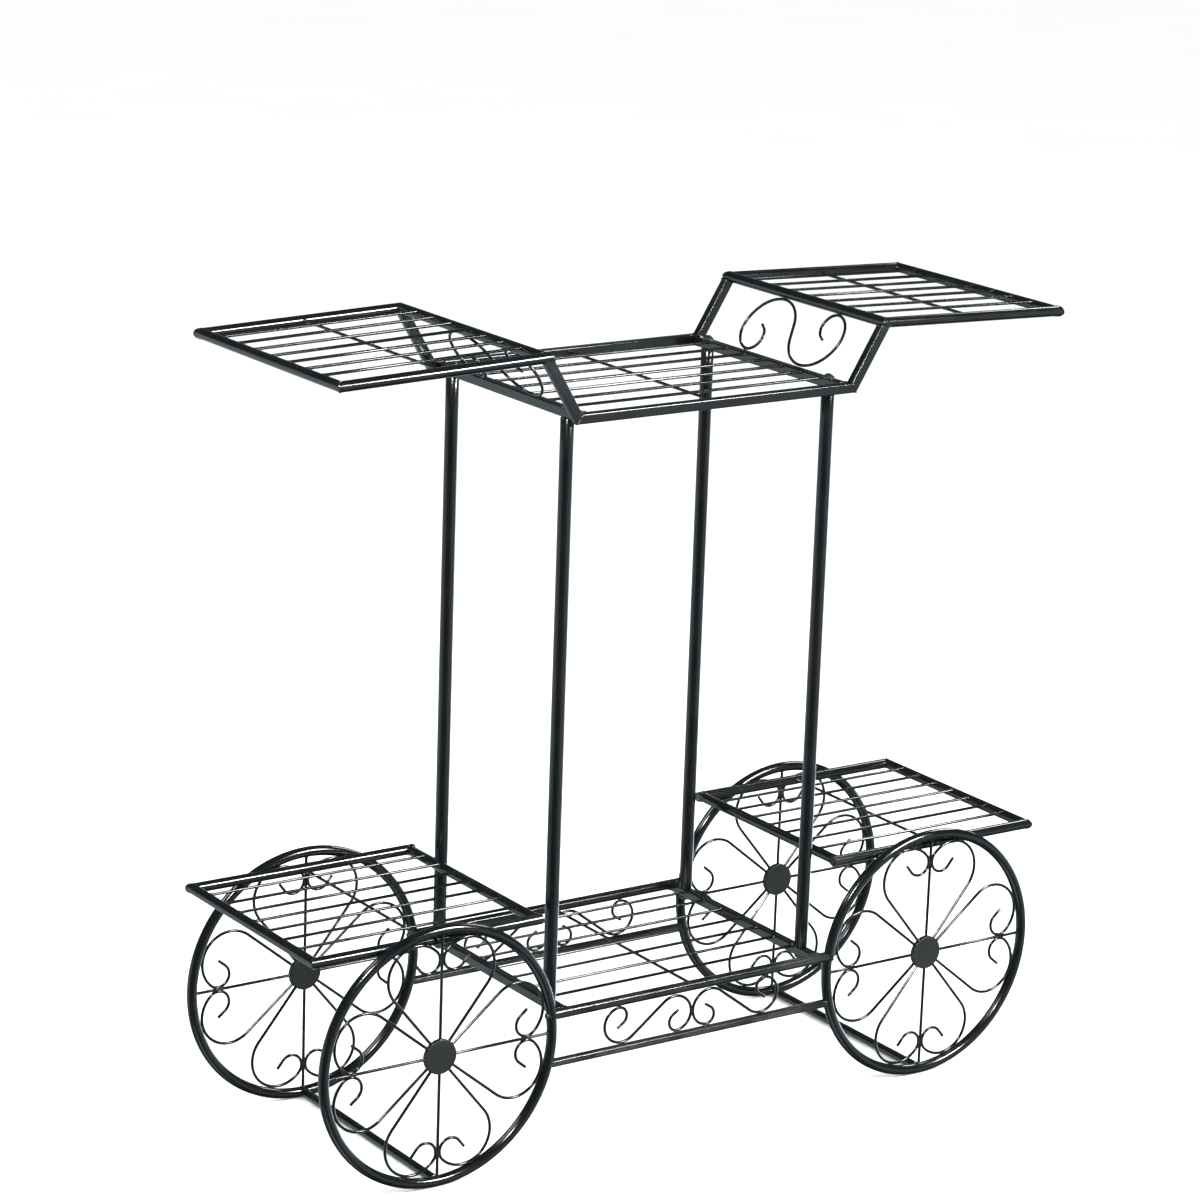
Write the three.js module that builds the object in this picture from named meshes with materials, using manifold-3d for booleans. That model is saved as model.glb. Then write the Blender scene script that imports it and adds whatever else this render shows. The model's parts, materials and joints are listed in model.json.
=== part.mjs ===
// Six-tier garden plant stand in the shape of a two-wheeled-end cart, in welded and bolted steel tube and wire.
// Millimetres. X is the length, Y the depth with the front at -Y, Z is up. The origin is on the floor, mid-footprint.
import * as THREE from "three";
import { mergeVertices } from "three/addons/utils/BufferGeometryUtils.js";
import Module from "manifold-3d";

const wasm = await Module();
wasm.setup();

// Clear gap between pieces that touch on the real object, and how far joined bodies run into each other.
const GAP = 0.3;
const OVERLAP = 0.02;

// Stock: tube and wire radii, and how many flats stand for a round.
const FRAME_TUBE = 5.4;
const LIGHT_TUBE = 4.5;
const POST_TUBE = 7;
const WIRE = 1.5;
const BAR = 10;
const TUBE_SIDES = 10;
const WIRE_SIDES = 5;
const BEND_STEP = 31;

// Wheels: fixed rings that never turn, standing on their lowest flats.
const WHEEL_X = 304;
const WHEEL_Y = 133;
const RING_R = 132.4;
const RING_SIDES = 36;
const WHEEL_Z = (RING_R + FRAME_TUBE) * Math.cos(Math.PI / RING_SIDES);
const HUB_R = 18;
const HUB_T = 6;
const CROSS_BAR_Z = 5.6;

// Lower centre shelf, between the wheels.
const SIDE_X = 158;
const LOWER_Z = 156;
const LOW_RAIL_Z = 104;
const SCROLL_X = 54.65;
const SCROLL_Z = 129.3;

// Lower outer shelves, held between the front and back wheels.
const LOWER_OUTER_Z = 256;
const LOWER_OUTER_X = [187, 442];
const LOWER_OUTER_Y = WHEEL_Y - 2 * FRAME_TUBE - GAP;

// Upper deck: centre shelf, sloping struts and outer shelves whose far ends hang a little low.
const UPPER_Y = 134;
const UPPER_Z = 766;
const KNEE_X = 165.5;
const UPPER_OUTER_X = [204, 430];
const UPPER_OUTER_Z = 829;
const DROOP = 7;
const SLOPE = Math.atan2(UPPER_OUTER_Z - UPPER_Z, UPPER_OUTER_X[0] - KNEE_X);

// Posts and fasteners. A ring bolt runs through its ring into the end of a lower rail.
const POST_Y = 105;
const POST_BORE = 3.5;
const POST_BORE_DEPTH = 22;
const POST_BOLT = 3;
const RING_BOLT_Z = LOWER_Z;
const RING_BOLT = 2;
const RING_BOLT_HEAD = 3;
const RING_BOLT_SUNK = 1.5;
const RING_BOLT_PROUD = 1.6;

// Shelf grids: rods flush with the tops of the side bars, their end gaps a little wider than the gaps between them.
const RODS = 7;
const END_GAP = 1.15;
const ROD_LIFT = BAR / 2 - WIRE;
const CROSS_WIRE_DROP = 2 * WIRE - 0.3;

const coat = new THREE.MeshStandardMaterial({ color: 0x202224, roughness: 0.42, metalness: 0.35 });
const hubCoat = new THREE.MeshStandardMaterial({ color: 0x34363a, roughness: 0.6, metalness: 0.2 });
const boltCoat = new THREE.MeshStandardMaterial({ color: 0x18191b, roughness: 0.35, metalness: 0.6 });

const SIDES = [
  ["left", -1],
  ["right", 1],
];
const FACES = [
  ["front", -1],
  ["rear", 1],
];

const v3 = (x, y, z) => new THREE.Vector3(x, y, z);
const radians = THREE.MathUtils.degToRad;

// A centre line through given points. The section turns at each one.
class Route extends THREE.Curve {
  constructor(points) {
    super();
    this.points = points;
  }
  getPoint(t, target = v3(0, 0, 0)) {
    const at = t * (this.points.length - 1);
    const i = Math.min(Math.floor(at), this.points.length - 2);
    return target.lerpVectors(this.points[i], this.points[i + 1], at - i);
  }
  getTangent(t, target = v3(0, 0, 0)) {
    const last = this.points.length - 1;
    const i = Math.round(t * last);
    target.set(0, 0, 0);
    if (i > 0) target.add(this.direction(i - 1));
    if (i < last) target.add(this.direction(i));
    return target.normalize();
  }
  direction(i) {
    return this.points[i + 1].clone().sub(this.points[i]).normalize();
  }
  getUtoTmapping(u) {
    return u;
  }
}

// A closed body from one geometry, ready to be joined or cut.
function solid(geometry) {
  const bare = geometry.clone();
  bare.deleteAttribute("normal");
  bare.deleteAttribute("uv");
  const merged = mergeVertices(bare, 1e-4);
  return new wasm.Manifold(
    new wasm.Mesh({
      numProp: 3,
      vertProperties: merged.attributes.position.array,
      triVerts: new Uint32Array(merged.index.array),
    }),
  );
}

function joined(bodies) {
  return bodies.reduce((sum, body) => sum.add(body));
}

function without(body, tools) {
  return tools.reduce((rest, tool) => rest.subtract(tool), body);
}

// A joined or cut body as geometry again, flat shaded.
function geometryOf(body) {
  const made = body.getMesh();
  const geometry = new THREE.BufferGeometry();
  geometry.setAttribute("position", new THREE.BufferAttribute(made.vertProperties, 3));
  geometry.setIndex(new THREE.BufferAttribute(made.triVerts, 1));
  const flat = geometry.toNonIndexed();
  flat.computeVertexNormals();
  return flat;
}

function section(radius, sides) {
  const corners = [];
  for (let i = 0; i < sides; i++) {
    const a = (2 * Math.PI * (i + 0.5)) / sides;
    corners.push(new THREE.Vector2(radius * Math.cos(a), radius * Math.sin(a)));
  }
  return new THREE.Shape(corners);
}

// Round stock bent along a line of points.
function bent(points, radius, sides) {
  const options = { steps: points.length - 1, extrudePath: new Route(points), bevelEnabled: false };
  return solid(new THREE.ExtrudeGeometry(section(radius, sides), options));
}

// Straight round stock from one point to another.
function straight(from, to, radius, sides = TUBE_SIDES) {
  const along = to.clone().sub(from);
  const geometry = new THREE.CylinderGeometry(radius, radius, along.length(), sides);
  const turn = new THREE.Quaternion().setFromUnitVectors(v3(0, 1, 0), along.clone().normalize());
  geometry.applyQuaternion(turn);
  geometry.translate(...from.clone().add(to).multiplyScalar(0.5).toArray());
  return solid(geometry);
}

function block(size, centre) {
  const geometry = new THREE.BoxGeometry(size.x, size.y, size.z);
  geometry.translate(centre.x, centre.y, centre.z);
  return solid(geometry);
}

// The centre line of a bent wire in its own plane: straight runs in mm, and turns in degrees, positive to the left.
function bendWire(start, heading, moves) {
  const points = [start.clone()];
  let at = start.clone();
  let facing = radians(heading);
  for (const { run, radius, turn } of moves) {
    if (run) {
      at = at.clone().add(new THREE.Vector2(Math.cos(facing), Math.sin(facing)).multiplyScalar(run));
      points.push(at);
      continue;
    }
    const count = Math.ceil(Math.abs(turn) / BEND_STEP);
    const step = radians(turn) / count;
    const chord = 2 * radius * Math.sin(Math.abs(step) / 2);
    for (let i = 0; i < count; i++) {
      const aim = facing + step / 2;
      at = at.clone().add(new THREE.Vector2(Math.cos(aim), Math.sin(aim)).multiplyScalar(chord));
      facing += step;
      points.push(at);
    }
  }
  return points;
}

// An S-scroll is one half and the same half turned round its middle.
function wholeScroll(half) {
  const turned = half.slice(1).reverse();
  return [...turned.map((p) => p.clone().negate()), ...half];
}

// A tube cut at the mitre between its own direction from a corner and its neighbour's, with a hair of overlap.
function mitred(body, corner, own, neighbour) {
  const normal = own.clone().sub(neighbour).normalize();
  return body.trimByPlane(normal.toArray(), normal.dot(corner) - OVERLAP);
}

const group = new THREE.Group();

function place(name, geometry, material) {
  const mesh = new THREE.Mesh(geometry, material);
  mesh.name = name;
  group.add(mesh);
  return mesh;
}

function placeBody(name, body, material) {
  return place(name, geometryOf(body), material);
}

// ---- Wheels ----

// A ring of round stock, its flats facing out, in and to the sides. The tube may be drawn fatter to cope what meets it.
function ring(x, y, tubeRadius) {
  const corner = tubeRadius / Math.cos(Math.PI / 8);
  const profile = [];
  for (let i = 0; i <= 8; i++) {
    const a = (2 * Math.PI * (i + 0.5)) / 8;
    profile.push(new THREE.Vector2(RING_R + corner * Math.cos(a), corner * Math.sin(a)));
  }
  profile[8] = profile[0].clone();
  const geometry = new THREE.LatheGeometry(profile, RING_SIDES, Math.PI / RING_SIDES);
  geometry.translate(x, y, WHEEL_Z);
  return solid(geometry);
}

// Half the depth of the ring's inner surface at the height where a centre rail meets it.
function ringInnerX(z) {
  return WHEEL_X - Math.sqrt((RING_R - FRAME_TUBE) ** 2 - (z - WHEEL_Z) ** 2);
}

// Two mirrored scrolls, both welded to the spoke between them.
function heart() {
  const start = new THREE.Vector2(10.87, 14.97);
  const moves = [
    { run: 67.5 },
    { radius: 32.7, turn: 60.7 },
    { radius: 31.9, turn: 115.2 },
    { radius: 12.6, turn: 184.3 },
    { run: 10.1 },
  ];
  const line = bendWire(start, 50.8, moves);
  const wires = [-1, 1].map((side) => bent(line.map((p) => v3(side * p.x, 0, p.y)), WIRE, WIRE_SIDES));
  const reach = (RING_R - FRAME_TUBE) * Math.cos(Math.PI / RING_SIDES) - GAP;
  const spoke = straight(v3(0, 0, HUB_R + GAP), v3(0, 0, reach), WIRE, 6);
  return joined([spoke, ...wires]);
}

const heartGeometry = geometryOf(heart());
const HEARTS = [
  ["top", 0],
  ["right", 90],
  ["bottom", 180],
  ["left", 270],
];

function boltThroughRing(side, y, radius, from, to) {
  return straight(v3(side * from, y, RING_BOLT_Z), v3(side * to, y, RING_BOLT_Z), radius, 8);
}

const HEAD_X = ringInnerX(RING_BOLT_Z);
const CLEAR_OF_RING = HEAD_X + 5;

for (const [face, sy] of FACES) {
  for (const [side, sx] of SIDES) {
    const y = sy * WHEEL_Y;
    const tag = `${face}_${side}`;
    const shankHole = boltThroughRing(sx, y, RING_BOLT + GAP, SIDE_X, CLEAR_OF_RING);
    const seat = HEAD_X - RING_BOLT_SUNK - GAP;
    const headHole = boltThroughRing(sx, y, RING_BOLT_HEAD + GAP, seat, CLEAR_OF_RING);
    const ringBody = without(ring(sx * WHEEL_X, y, FRAME_TUBE), [shankHole, headHole]);
    placeBody(`wheel_ring_${tag}`, ringBody, coat);
    const hub = new THREE.CylinderGeometry(HUB_R, HUB_R, HUB_T, 24);
    hub.translate(sx * WHEEL_X, y, WHEEL_Z);
    place(`hub_disc_${tag}`, hub, hubCoat);
    for (const [spot, turn] of HEARTS) {
      const mesh = place(`scroll_heart_${tag}_${spot}`, heartGeometry.clone(), coat);
      mesh.rotation.y = radians(turn);
      mesh.position.set(sx * WHEEL_X, y, WHEEL_Z);
    }
  }
}

// The cross bars tie the front and rear rings together at the floor, so the wheels can't turn.
for (const [side, sx] of SIDES) {
  const end = WHEEL_Y - FRAME_TUBE - GAP;
  const from = v3(sx * WHEEL_X, -end, CROSS_BAR_Z);
  const to = v3(sx * WHEEL_X, end, CROSS_BAR_Z);
  placeBody(`floor_cross_bar_${side}`, straight(from, to, LIGHT_TUBE), coat);
}

// ---- Lower centre shelf ----

function fatRings(y) {
  return [ring(-WHEEL_X, y, FRAME_TUBE + GAP), ring(WHEEL_X, y, FRAME_TUBE + GAP)];
}

// A rail between two rings, its ends shaped to them.
function ringToRing(y, z, radius) {
  const reach = ringInnerX(z) - FRAME_TUBE;
  const rail = straight(v3(-reach, y, z), v3(reach, y, z), radius);
  return without(rail, fatRings(y));
}

function postHoles(z) {
  const holes = [];
  for (const [, sx] of SIDES) {
    for (const [, sy] of FACES) {
      const low = v3(sx * SIDE_X, sy * POST_Y, z - BAR);
      holes.push(straight(low, low.clone().setZ(z + BAR), POST_BORE, 8));
    }
  }
  return holes;
}

function sideBars(y, z) {
  return SIDES.map(([, sx]) => block(v3(BAR, 2 * y, BAR), v3(sx * SIDE_X, 0, z)));
}

function lowerCentreFrame() {
  const rails = FACES.map(([, sy]) => ringToRing(sy * WHEEL_Y, LOWER_Z, FRAME_TUBE));
  const bores = [];
  for (const [, sx] of SIDES) {
    for (const [, sy] of FACES) {
      bores.push(boltThroughRing(sx, sy * WHEEL_Y, RING_BOLT + GAP, SIDE_X, HEAD_X));
    }
  }
  const bars = sideBars(WHEEL_Y, LOWER_Z);
  return without(joined([...rails, ...bars]), [...bores, ...postHoles(LOWER_Z)]);
}

placeBody("lower_centre_frame", lowerCentreFrame(), coat);

// A mirrored pair of S-scrolls that meet in the middle, with short welded feet up to the rail above.
const SCROLL_FEET = [SCROLL_X - 32.2, SCROLL_X + 38.9];
const SCROLL_FOOT = 3.4;

function railScrolls(y) {
  const half = bendWire(new THREE.Vector2(0, 0), 37, [
    { run: 24.1 },
    { radius: 21.6, turn: -98.6 },
    { radius: 18, turn: -112.5 },
    { radius: 9.6, turn: -153.4 },
    { run: 8.2 },
  ]);
  const line = wholeScroll(half);
  const parts = [];
  for (const [, sx] of SIDES) {
    const points = line.map((p) => v3(sx * (p.x - SCROLL_X), y, SCROLL_Z + p.y));
    parts.push(bent(points, WIRE, WIRE_SIDES));
    for (const x of SCROLL_FEET) {
      const foot = v3(sx * x, y, LOWER_Z - FRAME_TUBE - GAP);
      parts.push(straight(foot.clone().setZ(foot.z - SCROLL_FOOT), foot, WIRE, 6));
    }
  }
  return joined(parts);
}

for (const [face, sy] of FACES) {
  const y = sy * WHEEL_Y;
  placeBody(`lower_rail_${face}`, ringToRing(y, LOW_RAIL_Z, LIGHT_TUBE), coat);
  placeBody(`rail_scrolls_${face}`, railScrolls(y), coat);
  for (const [side, sx] of SIDES) {
    const shank = boltThroughRing(sx, y, RING_BOLT, SIDE_X + 0.5, HEAD_X);
    const head = boltThroughRing(sx, y, RING_BOLT_HEAD, HEAD_X - RING_BOLT_SUNK, HEAD_X + RING_BOLT_PROUD);
    placeBody(`ring_bolt_${face}_${side}`, joined([shank, head]), boltCoat);
  }
}

// ---- Grids: rods along the length, and one cross wire welded under them at mid-length ----

// The rods run between two x positions inside a frame whose front and rear tubes are at -y and y, and at height z.
function grid([inner, outer], y, z) {
  const pitch = (2 * y) / (RODS - 1 + 2 * END_GAP);
  const rodZ = z + ROD_LIFT;
  const parts = [];
  for (let i = 0; i < RODS; i++) {
    const at = pitch * (i - (RODS - 1) / 2);
    parts.push(straight(v3(inner, at, rodZ), v3(outer, at, rodZ), WIRE, 6));
  }
  const middle = (inner + outer) / 2;
  const low = rodZ - CROSS_WIRE_DROP;
  const reach = y - FRAME_TUBE - GAP;
  parts.push(straight(v3(middle, -reach, low), v3(middle, reach, low), WIRE, 6));
  return joined(parts);
}

const centreRods = [-SIDE_X + BAR / 2 + GAP, SIDE_X - BAR / 2 - GAP];
placeBody("lower_centre_grid", grid(centreRods, WHEEL_Y, LOWER_Z), coat);
placeBody("upper_centre_grid", grid(centreRods, UPPER_Y, UPPER_Z), coat);

// ---- Outer shelves: four round tubes, mitred at the far corners ----

// The inner corners are mitred as well when `closed`. Otherwise the long tubes run on past the inner bar.
function outerFrame([inner, outer], y, z, closed, radius = FRAME_TUBE) {
  const past = 2 * radius;
  const start = inner - (closed ? past : radius);
  const legs = FACES.map(([, sy]) => {
    const across = v3(0, -sy, 0);
    const whole = straight(v3(start, sy * y, z), v3(outer + past, sy * y, z), radius);
    const leg = mitred(whole, v3(outer, sy * y, z), v3(-1, 0, 0), across);
    return closed ? mitred(leg, v3(inner, sy * y, z), v3(1, 0, 0), across) : leg;
  });
  const bar = (x, reach) => straight(v3(x, -reach, z), v3(x, reach, z), radius);
  const mitredBar = (x, inward) =>
    FACES.reduce(
      (rest, [, sy]) => mitred(rest, v3(x, sy * y, z), v3(0, -sy, 0), v3(inward, 0, 0)),
      bar(x, y + past),
    );
  const innerBar = closed ? mitredBar(inner, 1) : bar(inner, y);
  return joined([...legs, mitredBar(outer, -1), innerBar]);
}

function outerGrid([inner, outer], y, z) {
  return grid([inner + FRAME_TUBE + GAP, outer - FRAME_TUBE - GAP], y, z);
}

for (const [side, sx] of SIDES) {
  const turn = [0, 0, sx > 0 ? 0 : 180];
  const frame = outerFrame(LOWER_OUTER_X, LOWER_OUTER_Y, LOWER_OUTER_Z, false);
  placeBody(`lower_outer_frame_${side}`, frame.rotate(turn), coat);
  const rods = outerGrid(LOWER_OUTER_X, LOWER_OUTER_Y, LOWER_OUTER_Z);
  placeBody(`lower_outer_grid_${side}`, rods.rotate(turn), coat);
}

// ---- Upper deck ----

// An outer shelf piece made level, then tipped about its inner bar so that its far end hangs low.
function tipped(body, sx) {
  const [inner, outer] = UPPER_OUTER_X;
  const angle = THREE.MathUtils.radToDeg(Math.asin(DROOP / (outer - inner)));
  const level = body.translate([-inner, 0, 0]).rotate([0, angle, 0]);
  return level.translate([inner, 0, UPPER_OUTER_Z]).rotate([0, 0, sx > 0 ? 0 : 180]);
}

function upperOuterFrame(sx, radius) {
  return tipped(outerFrame(UPPER_OUTER_X, UPPER_Y, 0, true, radius), sx);
}

// A square strut from its knee up to the underside of the outer shelf, its top coped to the shelf's round tubes.
const STRUT_STOCK = 100;
const STRUT_TOP = UPPER_OUTER_Z - 3;

function strut(sx, knee) {
  const level = block(v3(STRUT_STOCK, BAR, BAR), v3(sx * 0.3 * STRUT_STOCK, 0, 0));
  const sloping = level.rotate([0, -sx * THREE.MathUtils.radToDeg(SLOPE), 0]).translate(knee.toArray());
  const topped = sloping.trimByPlane([0, 0, -1], -STRUT_TOP);
  return without(topped, [upperOuterFrame(sx, FRAME_TUBE + GAP)]);
}

// The rails and struts are square tube, mitred at the knees.
function upperCentreFrame() {
  const parts = sideBars(UPPER_Y, UPPER_Z);
  for (const [, sy] of FACES) {
    let rail = block(v3(2 * KNEE_X + 2 * BAR, BAR, BAR), v3(0, sy * UPPER_Y, UPPER_Z));
    for (const [, sx] of SIDES) {
      const knee = v3(sx * KNEE_X, sy * UPPER_Y, UPPER_Z);
      const level = v3(-sx, 0, 0);
      const up = v3(sx * Math.cos(SLOPE), 0, Math.sin(SLOPE));
      rail = mitred(rail, knee, level, up);
      parts.push(mitred(strut(sx, knee), knee, up, level));
    }
    parts.push(rail);
  }
  return without(joined(parts), postHoles(UPPER_Z));
}

placeBody("upper_centre_frame", upperCentreFrame(), coat);

for (const [side, sx] of SIDES) {
  placeBody(`upper_outer_frame_${side}`, upperOuterFrame(sx, FRAME_TUBE), coat);
  const rods = tipped(outerGrid(UPPER_OUTER_X, UPPER_Y, 0), sx);
  placeBody(`upper_outer_grid_${side}`, rods, coat);
}

// ---- Upper scrolls: one S each side, on the slope from the side bar up to the outer shelf ----

// How far up the slope and how far forward the scroll's middle is, and the scroll's height against its drawn height.
const SCROLL_UP = 33.7;
const SCROLL_FORWARD = 10;
const SCROLL_SQUEEZE = 0.994;

function upperScroll(sx) {
  const foot = v3(SIDE_X + 3, 0, UPPER_Z + BAR / 2);
  const up = v3(UPPER_OUTER_X[0], 0, UPPER_OUTER_Z).sub(foot).normalize();
  const half = bendWire(new THREE.Vector2(0, 0), 67.5, [
    { run: 8.3 },
    { radius: 38.8, turn: -148 },
    { radius: 26.7, turn: -89.2 },
    { radius: 14.8, turn: -163.3 },
    { run: 4.8 },
  ]);
  const points = wholeScroll(half).map((p) => {
    const at = foot.clone().addScaledVector(up, SCROLL_UP + SCROLL_SQUEEZE * p.y);
    return v3(sx * at.x, p.x - SCROLL_FORWARD, at.z);
  });
  return bent(points, WIRE, WIRE_SIDES);
}

for (const [side, sx] of SIDES) {
  placeBody(`upper_scroll_${side}`, upperScroll(sx), coat);
}

// ---- Posts, each bolted through the side bars above and below ----

const POST_LOW = LOWER_Z + BAR / 2 + GAP;
const POST_HIGH = UPPER_Z - BAR / 2 - GAP;

function post(x, y) {
  const body = straight(v3(x, y, POST_LOW), v3(x, y, POST_HIGH), POST_TUBE, 14);
  const lowBore = straight(v3(x, y, POST_LOW - 1), v3(x, y, POST_LOW + POST_BORE_DEPTH), POST_BORE, 8);
  const highBore = straight(v3(x, y, POST_HIGH - POST_BORE_DEPTH), v3(x, y, POST_HIGH + 1), POST_BORE, 8);
  return without(body, [lowBore, highBore]);
}

// Flanged round head with its shank, seated on the origin plane with the shank hanging down.
function postBoltGeometry() {
  const shank = BAR + GAP * 2 + POST_BORE_DEPTH - 3;
  const profile = [
    [0, -shank],
    [POST_BOLT, -shank],
    [POST_BOLT, 0],
    [6.2, 0],
    [6.2, 1.2],
    [4.4, 3.4],
    [0, 4.4],
  ];
  const points = profile.map(([r, h]) => new THREE.Vector2(r, h));
  const geometry = new THREE.LatheGeometry(points, 10);
  geometry.rotateX(Math.PI / 2);
  return geometry;
}

for (const [face, sy] of FACES) {
  for (const [side, sx] of SIDES) {
    const x = sx * SIDE_X;
    const y = sy * POST_Y;
    placeBody(`post_${face}_${side}`, post(x, y), coat);
    const upper = place(`post_bolt_upper_${face}_${side}`, postBoltGeometry(), boltCoat);
    upper.position.set(x, y, UPPER_Z + BAR / 2 + GAP);
    const lower = place(`post_bolt_lower_${face}_${side}`, postBoltGeometry(), boltCoat);
    lower.rotation.x = Math.PI;
    lower.position.set(x, y, LOWER_Z - BAR / 2 - GAP);
  }
}

export default group;
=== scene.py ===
"""Looks for the six-tier cart-shaped garden plant stand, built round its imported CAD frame.

Lines, sections and radii are in millimetres until a piece is made; Blender objects are in metres.
X is the length, Y the depth with the front at -Y, Z is up. Nothing on the stand moves.
"""

import json
import math
import random

import bmesh
import bpy
import numpy as np
from mathutils import Matrix, Vector, noise

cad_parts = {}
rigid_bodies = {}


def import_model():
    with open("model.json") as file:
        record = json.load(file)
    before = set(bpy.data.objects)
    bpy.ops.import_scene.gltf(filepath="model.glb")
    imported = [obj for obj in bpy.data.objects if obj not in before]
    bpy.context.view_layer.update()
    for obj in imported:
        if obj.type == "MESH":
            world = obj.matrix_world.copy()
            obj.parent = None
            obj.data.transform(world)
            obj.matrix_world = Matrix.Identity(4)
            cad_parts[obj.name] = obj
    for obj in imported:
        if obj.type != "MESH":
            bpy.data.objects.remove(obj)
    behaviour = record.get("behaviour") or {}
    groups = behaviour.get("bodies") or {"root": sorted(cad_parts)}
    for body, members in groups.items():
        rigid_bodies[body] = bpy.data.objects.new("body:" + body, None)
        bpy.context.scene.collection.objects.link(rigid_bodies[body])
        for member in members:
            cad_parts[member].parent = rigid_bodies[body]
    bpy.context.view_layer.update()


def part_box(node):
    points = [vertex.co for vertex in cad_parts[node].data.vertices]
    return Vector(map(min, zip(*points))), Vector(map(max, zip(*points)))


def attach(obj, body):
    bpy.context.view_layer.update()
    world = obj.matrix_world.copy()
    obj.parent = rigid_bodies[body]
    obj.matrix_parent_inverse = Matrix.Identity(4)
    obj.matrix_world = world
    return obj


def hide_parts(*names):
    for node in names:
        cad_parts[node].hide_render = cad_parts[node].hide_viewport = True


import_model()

MM = 0.001
X, Y, Z = Vector((1, 0, 0)), Vector((0, 1, 0)), Vector((0, 0, 1))

# Stock radii, half the width of the square bar and the radius of its edges.
FRAME_TUBE = 5.4
LIGHT_TUBE = 4.5
POST_TUBE = 7.0
WIRE = 1.6
BAR_HALF = 5.0
BAR_EDGE = 1.3

# How far from a mitre a straight run takes its own section again.
MITRE_RUN = 9.0

# How finely round things are drawn.
TUBE_SIDES = 28
WIRE_SIDES = 14
POST_SIDES = 40
RING_STEPS = 160
COLLAR_STEPS = 44
BEND_STEP = 4.0

SIDES = (("left", -1), ("right", 1))
FACES = (("front", -1), ("rear", 1))

# Shelf layout from the CAD part.
LOWER_OUTER_X = (187.0, 442.0)
LOWER_OUTER_Y = 121.9
LOWER_OUTER_Z = 256.0
UPPER_Y = 134.0
UPPER_Z = 766.0
KNEE_X = 165.5
UPPER_OUTER_X = (204.0, 430.0)
UPPER_OUTER_Z = 829.0
DROOP = 7.0
RODS = 7
END_GAP = 1.15
ROD_LIFT = BAR_HALF - WIRE
CROSS_WIRE_DROP = 2 * WIRE - 0.3
SCROLL_X = 54.65
SCROLL_Z = 129.3

# An upper scroll's middle up the slope and towards the front, and its height against its drawn height.
SCROLL_UP = 33.7
SCROLL_FORWARD = 10
SCROLL_SQUEEZE = 0.994

# Bores and bolt holes: radii and depths.
POST_BORE = 3.4
POST_BORE_DEPTH = 22
POST_BOLT_HOLE = 3.3
RING_BOLT_HOLE = 2.2
RING_HEAD_HOLE = 3.25
RING_HEAD_SUNK = 1.6

# Room left round a tube that another piece is shaped to, or below zero how far the piece sinks into it.
FRAME_TO_RING = 0.12
RAIL_TO_RING = -0.03
CROSS_BAR_TO_RING = -0.05
STRUT_TO_SHELF = 0.05


def node_box(node):
    """A CAD node's lowest and highest corners in millimetres."""
    low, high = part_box(node)
    return low / MM, high / MM


def node_centre(node):
    low, high = node_box(node)
    return (low + high) / 2


WHEEL_X, WHEEL_Y, WHEEL_Z = node_centre("hub_disc_rear_right")
HUB_LOW, HUB_HIGH = node_box("hub_disc_rear_right")
HUB_R = (HUB_HIGH.z - HUB_LOW.z) / 2
HUB_T = HUB_HIGH.y - HUB_LOW.y
RING_R = WHEEL_Z - FRAME_TUBE
SIDE_X, POST_Y = node_centre("post_rear_right").xy
POST_LOW, POST_HIGH = (corner.z for corner in node_box("post_rear_right"))
LOWER_Z = node_centre("lower_centre_frame").z
LOW_RAIL_Z = node_centre("lower_rail_front").z
CROSS_BAR_Z = node_centre("floor_cross_bar_left").z


def ring_inner_x(z):
    """How far from the middle a wheel ring's inner surface is at a height."""
    return WHEEL_X - math.sqrt((RING_R - FRAME_TUBE) ** 2 - (z - WHEEL_Z) ** 2)


RING_INNER_X = ring_inner_x(LOWER_Z)


# ---- Centre lines ----


def bend_wire(start, heading, moves):
    """Points along a bent wire in its own plane: runs in mm, turns in degrees, positive to the left."""
    at = Vector(start)
    facing = math.radians(heading)
    points = [at.copy()]
    for move in moves:
        if len(move) == 1:
            at = at + Vector((math.cos(facing), math.sin(facing))) * move[0]
            points.append(at.copy())
            continue
        radius, turn = move
        count = math.ceil(abs(turn) / BEND_STEP)
        step = math.radians(turn) / count
        chord = 2 * radius * math.sin(abs(step) / 2)
        for _ in range(count):
            aim = facing + step / 2
            at = at + Vector((math.cos(aim), math.sin(aim))) * chord
            facing += step
            points.append(at.copy())
    return points


def whole_scroll(half):
    """An S-scroll is one half and the same half turned round its middle."""
    return [-p for p in reversed(half[1:])] + list(half)


# ---- Closed shells: (points, faces) in mm ----


def resample(points, count):
    """The same line with evenly spaced points."""
    lengths = [0.0]
    for a, b in zip(points, points[1:]):
        lengths.append(lengths[-1] + (b - a).length)
    out = []
    for i in range(count + 1):
        want = lengths[-1] * i / count
        k = min(max(np.searchsorted(lengths, want) - 1, 0), len(points) - 2)
        span = lengths[k + 1] - lengths[k]
        out.append(points[k].lerp(points[k + 1], (want - lengths[k]) / span if span else 0.0))
    return out


def circle(radius, sides):
    turns = [2 * math.pi * (i + 0.5) / sides for i in range(sides)]
    return [(radius * math.cos(a), radius * math.sin(a)) for a in turns]


def rounded_square(half, edge, steps=4):
    """A square section with rounded corners."""
    corners = []
    for quarter in range(4):
        mid = math.radians(45 + 90 * quarter)
        cx = math.copysign(half - edge, math.cos(mid))
        cy = math.copysign(half - edge, math.sin(mid))
        for k in range(steps + 1):
            a = mid + math.radians(90) * (k / steps - 0.5)
            corners.append((cx + edge * math.cos(a), cy + edge * math.sin(a)))
    return corners


def unit(rows):
    return rows / np.linalg.norm(rows, axis=1, keepdims=True)


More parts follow.
